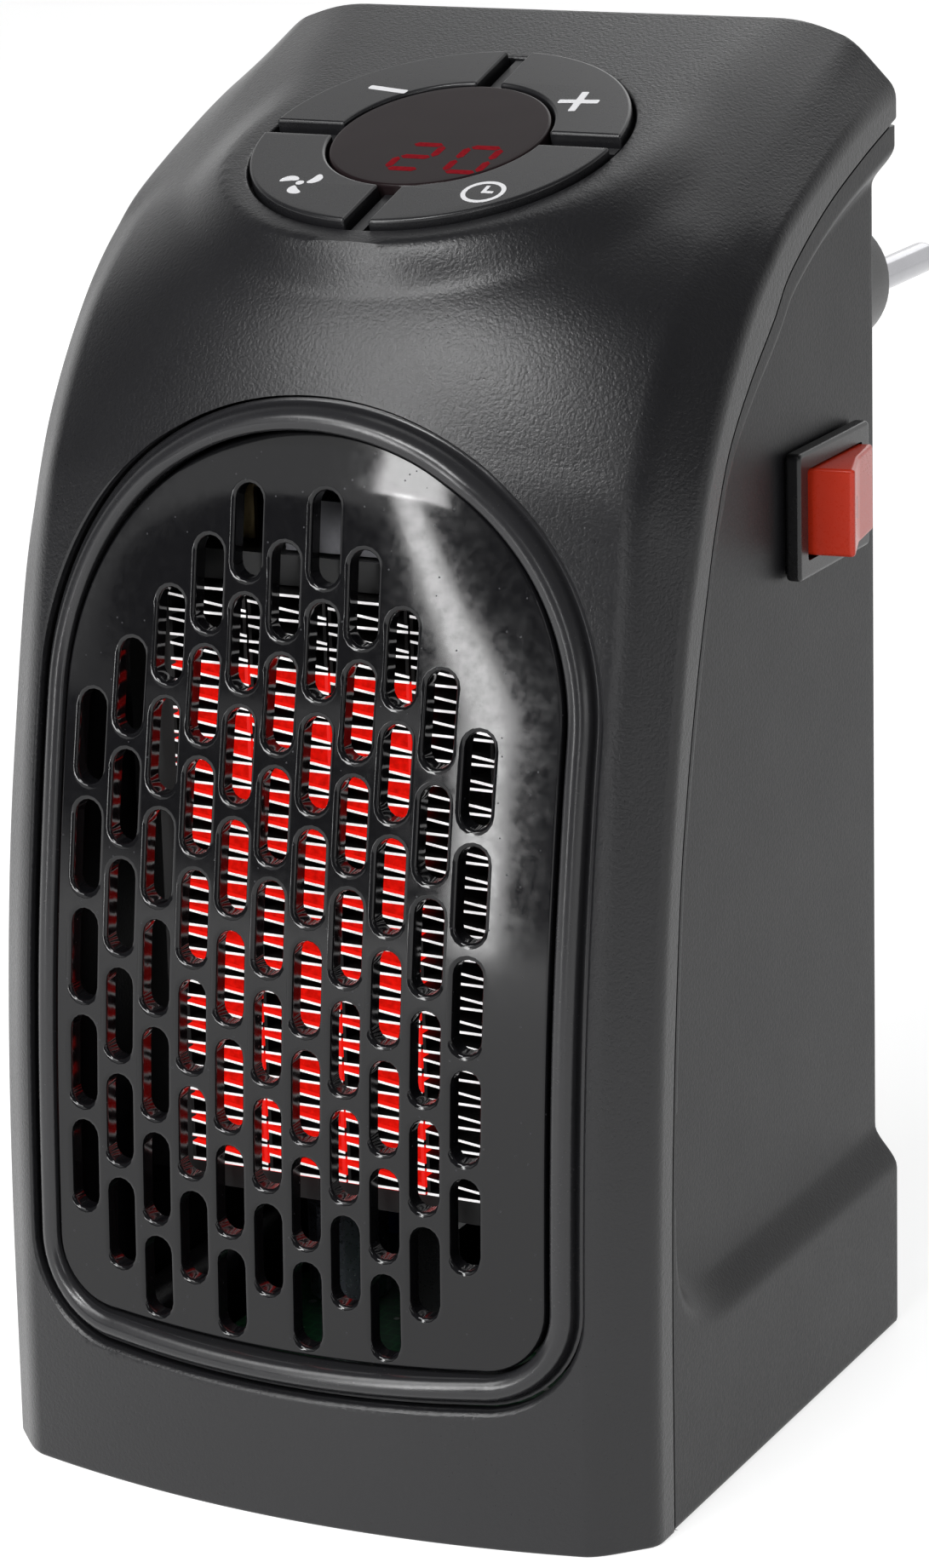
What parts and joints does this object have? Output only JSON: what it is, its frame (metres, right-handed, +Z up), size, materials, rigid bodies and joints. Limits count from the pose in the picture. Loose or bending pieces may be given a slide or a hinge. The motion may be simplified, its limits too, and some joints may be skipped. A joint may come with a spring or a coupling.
{
  "type": "plug-in fan heater",
  "caption": "Compact plug-in fan heater: leaning two-part case, arched slotted grille, round keypad with display on the sloping top, side rocker switch and a turning mains plug.",
  "frame": {"origin": "centre of the case's flat base, midway between its sides", "axes": "+Z up; -Y is the grille side, so the plug's pins point along +Y; +X is the side with the rocker switch"},
  "size_m": [0.0885, 0.1407, 0.1622],
  "materials": {
    "hood_plastic": "fine leathery grain, satin",
    "body_plastic": "smooth satin",
    "grille_gloss": "polished black",
    "key_plastic": "satin black",
    "dark_plastic": "plain black",
    "smoked_plastic": "smoked, polished",
    "red_plastic": "smooth bright red",
    "brown_insulation": "smooth insulation",
    "blue_insulation": "smooth insulation",
    "circuit_board": "green solder mask",
    "fin_aluminium": "plain rolled sheet",
    "plain_steel": "plain",
    "capacitor_can": "drawn can",
    "brass_tab": "plain",
    "plated_pin": "bright nickel plating"
  },
  "bodies": {
    "case": {"front_shell": "hood_plastic", "rear_shell": "body_plastic", "grille_panel": "grille_gloss", "grille_bezel": "grille_gloss", "keypad_frame": "body_plastic", "display_window": "smoked_plastic", "led_display": "dark_plastic", "control_board": "circuit_board", "tact_switch_1": "plain_steel", "tact_switch_2": "plain_steel", "tact_switch_3": "plain_steel", "tact_switch_4": "plain_steel", "switch_housing": "dark_plastic", "switch_tab_1": "brass_tab", "switch_tab_2": "brass_tab", "fin_strip_1": "fin_aluminium", "fin_strip_2": "fin_aluminium", "fin_strip_3": "fin_aluminium", "fin_strip_4": "fin_aluminium", "ptc_bar_1": "fin_aluminium", "ptc_bar_2": "fin_aluminium", "ptc_bar_3": "fin_aluminium", "ptc_bar_4": "fin_aluminium", "ptc_bar_5": "fin_aluminium", "element_frame": "dark_plastic", "thermal_cutout": "dark_plastic", "element_terminal_1": "brass_tab", "element_terminal_2": "brass_tab", "fan_duct": "body_plastic", "fan_motor": "plain_steel", "power_board": "circuit_board", "relay": "dark_plastic", "film_capacitor": "red_plastic", "smoothing_capacitor": "capacitor_can", "shell_screw_1": "plain_steel", "shell_screw_2": "plain_steel", "shell_screw_3": "plain_steel", "shell_screw_4": "plain_steel", "wire_live": "brown_insulation", "wire_switched": "brown_insulation", "wire_neutral": "blue_insulation"},
    "plus_key": {"button_plus": "key_plastic"},
    "minus_key": {"button_minus": "key_plastic"},
    "speed_key": {"button_speed": "key_plastic"},
    "timer_key": {"button_timer": "key_plastic"},
    "switch_rocker": {"rocker": "red_plastic"},
    "fan": {"fan_rotor": "dark_plastic", "motor_shaft": "plain_steel"},
    "plug": {"plug_turntable": "body_plastic", "plug_neck": "body_plastic", "plug_pin_1": "plated_pin", "plug_pin_2": "plated_pin", "turntable_retainer": "dark_plastic"}
  },
  "joints": [
    {"name": "plus_press", "type": "slide", "parent": "case", "child": "plus_key", "axis": [0, 0.3007, -0.9537], "range_m": [0, 0.0005], "stiffness_N_per_m": 800},
    {"name": "minus_press", "type": "slide", "parent": "case", "child": "minus_key", "axis": [0, 0.3007, -0.9537], "range_m": [0, 0.0005], "stiffness_N_per_m": 800},
    {"name": "speed_press", "type": "slide", "parent": "case", "child": "speed_key", "axis": [0, 0.3007, -0.9537], "range_m": [0, 0.0005], "stiffness_N_per_m": 800},
    {"name": "timer_press", "type": "slide", "parent": "case", "child": "timer_key", "axis": [0, 0.3007, -0.9537], "range_m": [0, 0.0005], "stiffness_N_per_m": 800},
    {"name": "rocker_tilt", "type": "hinge", "parent": "case", "child": "switch_rocker", "pos_m": [0.0393, 0.0239, 0.1089], "axis": [0, 0, 1], "range_deg": [-28, 0]},
    {"name": "fan_spin", "type": "hinge", "parent": "case", "child": "fan", "pos_m": [0, 0, 0.07], "axis": [0, 1, 0], "continuous": true},
    {"name": "plug_turn", "type": "hinge", "parent": "case", "child": "plug", "pos_m": [0.0132, 0.0435, 0.124], "axis": [0, 1, 0], "range_deg": [-90, 90]}
  ]
}
